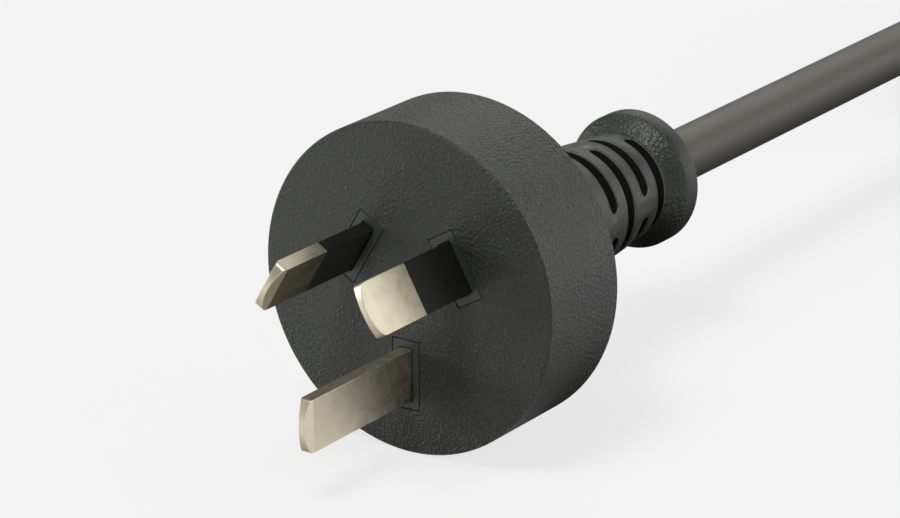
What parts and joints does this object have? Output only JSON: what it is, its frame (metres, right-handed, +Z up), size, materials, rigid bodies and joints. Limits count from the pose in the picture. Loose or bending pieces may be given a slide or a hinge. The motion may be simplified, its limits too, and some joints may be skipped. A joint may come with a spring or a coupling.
{
  "type": "type i plug",
  "caption": "Moulded flat-pin mains plug with a round body, a slotted flexible neck and a round lead.",
  "frame": {"origin": "centre of the pin face", "axes": "-Y out of the pin face along the pins, +Y along the lead, +Z up with the earth pin at the bottom"},
  "size_m": [0.0496, 0.3034, 0.0399],
  "materials": {
    "body_plastic": "fine spark-eroded grain",
    "carrier_plastic": "smooth satin",
    "sleeve_plastic": "smooth satin",
    "pin_metal": "nickel plated brass, satin",
    "cord_sheath": "satin flexible PVC",
    "band_metal": "tin plated strip",
    "wire_copper": "bright stranded copper",
    "tinned_wire": "tinned copper strands",
    "core_brown": "satin PVC",
    "core_blue": "satin PVC",
    "core_green_yellow": "satin PVC, green with a yellow stripe",
    "tie_plastic": "satin plastic over a wire"
  },
  "bodies": {
    "root": {"overmould_body": "body_plastic", "pin_carrier": "carrier_plastic", "active_pin": "pin_metal", "active_crimp_band": "band_metal", "active_conductor": "wire_copper", "active_core_cover": "core_brown", "active_core_end": "core_brown", "active_bare_end": "tinned_wire", "neutral_pin": "pin_metal", "neutral_crimp_band": "band_metal", "neutral_conductor": "wire_copper", "neutral_core_cover": "core_blue", "neutral_core_end": "core_blue", "neutral_bare_end": "tinned_wire", "earth_pin": "pin_metal", "earth_crimp_band": "band_metal", "earth_conductor": "wire_copper", "earth_core_cover": "core_green_yellow", "earth_core_end": "core_green_yellow", "earth_bare_end": "tinned_wire", "active_pin_sleeve": "sleeve_plastic", "neutral_pin_sleeve": "sleeve_plastic", "sheath_root": "cord_sheath", "cord": "cord_sheath", "cord_hank": "cord_sheath", "cord_tie": "tie_plastic"}
  },
  "joints": []
}
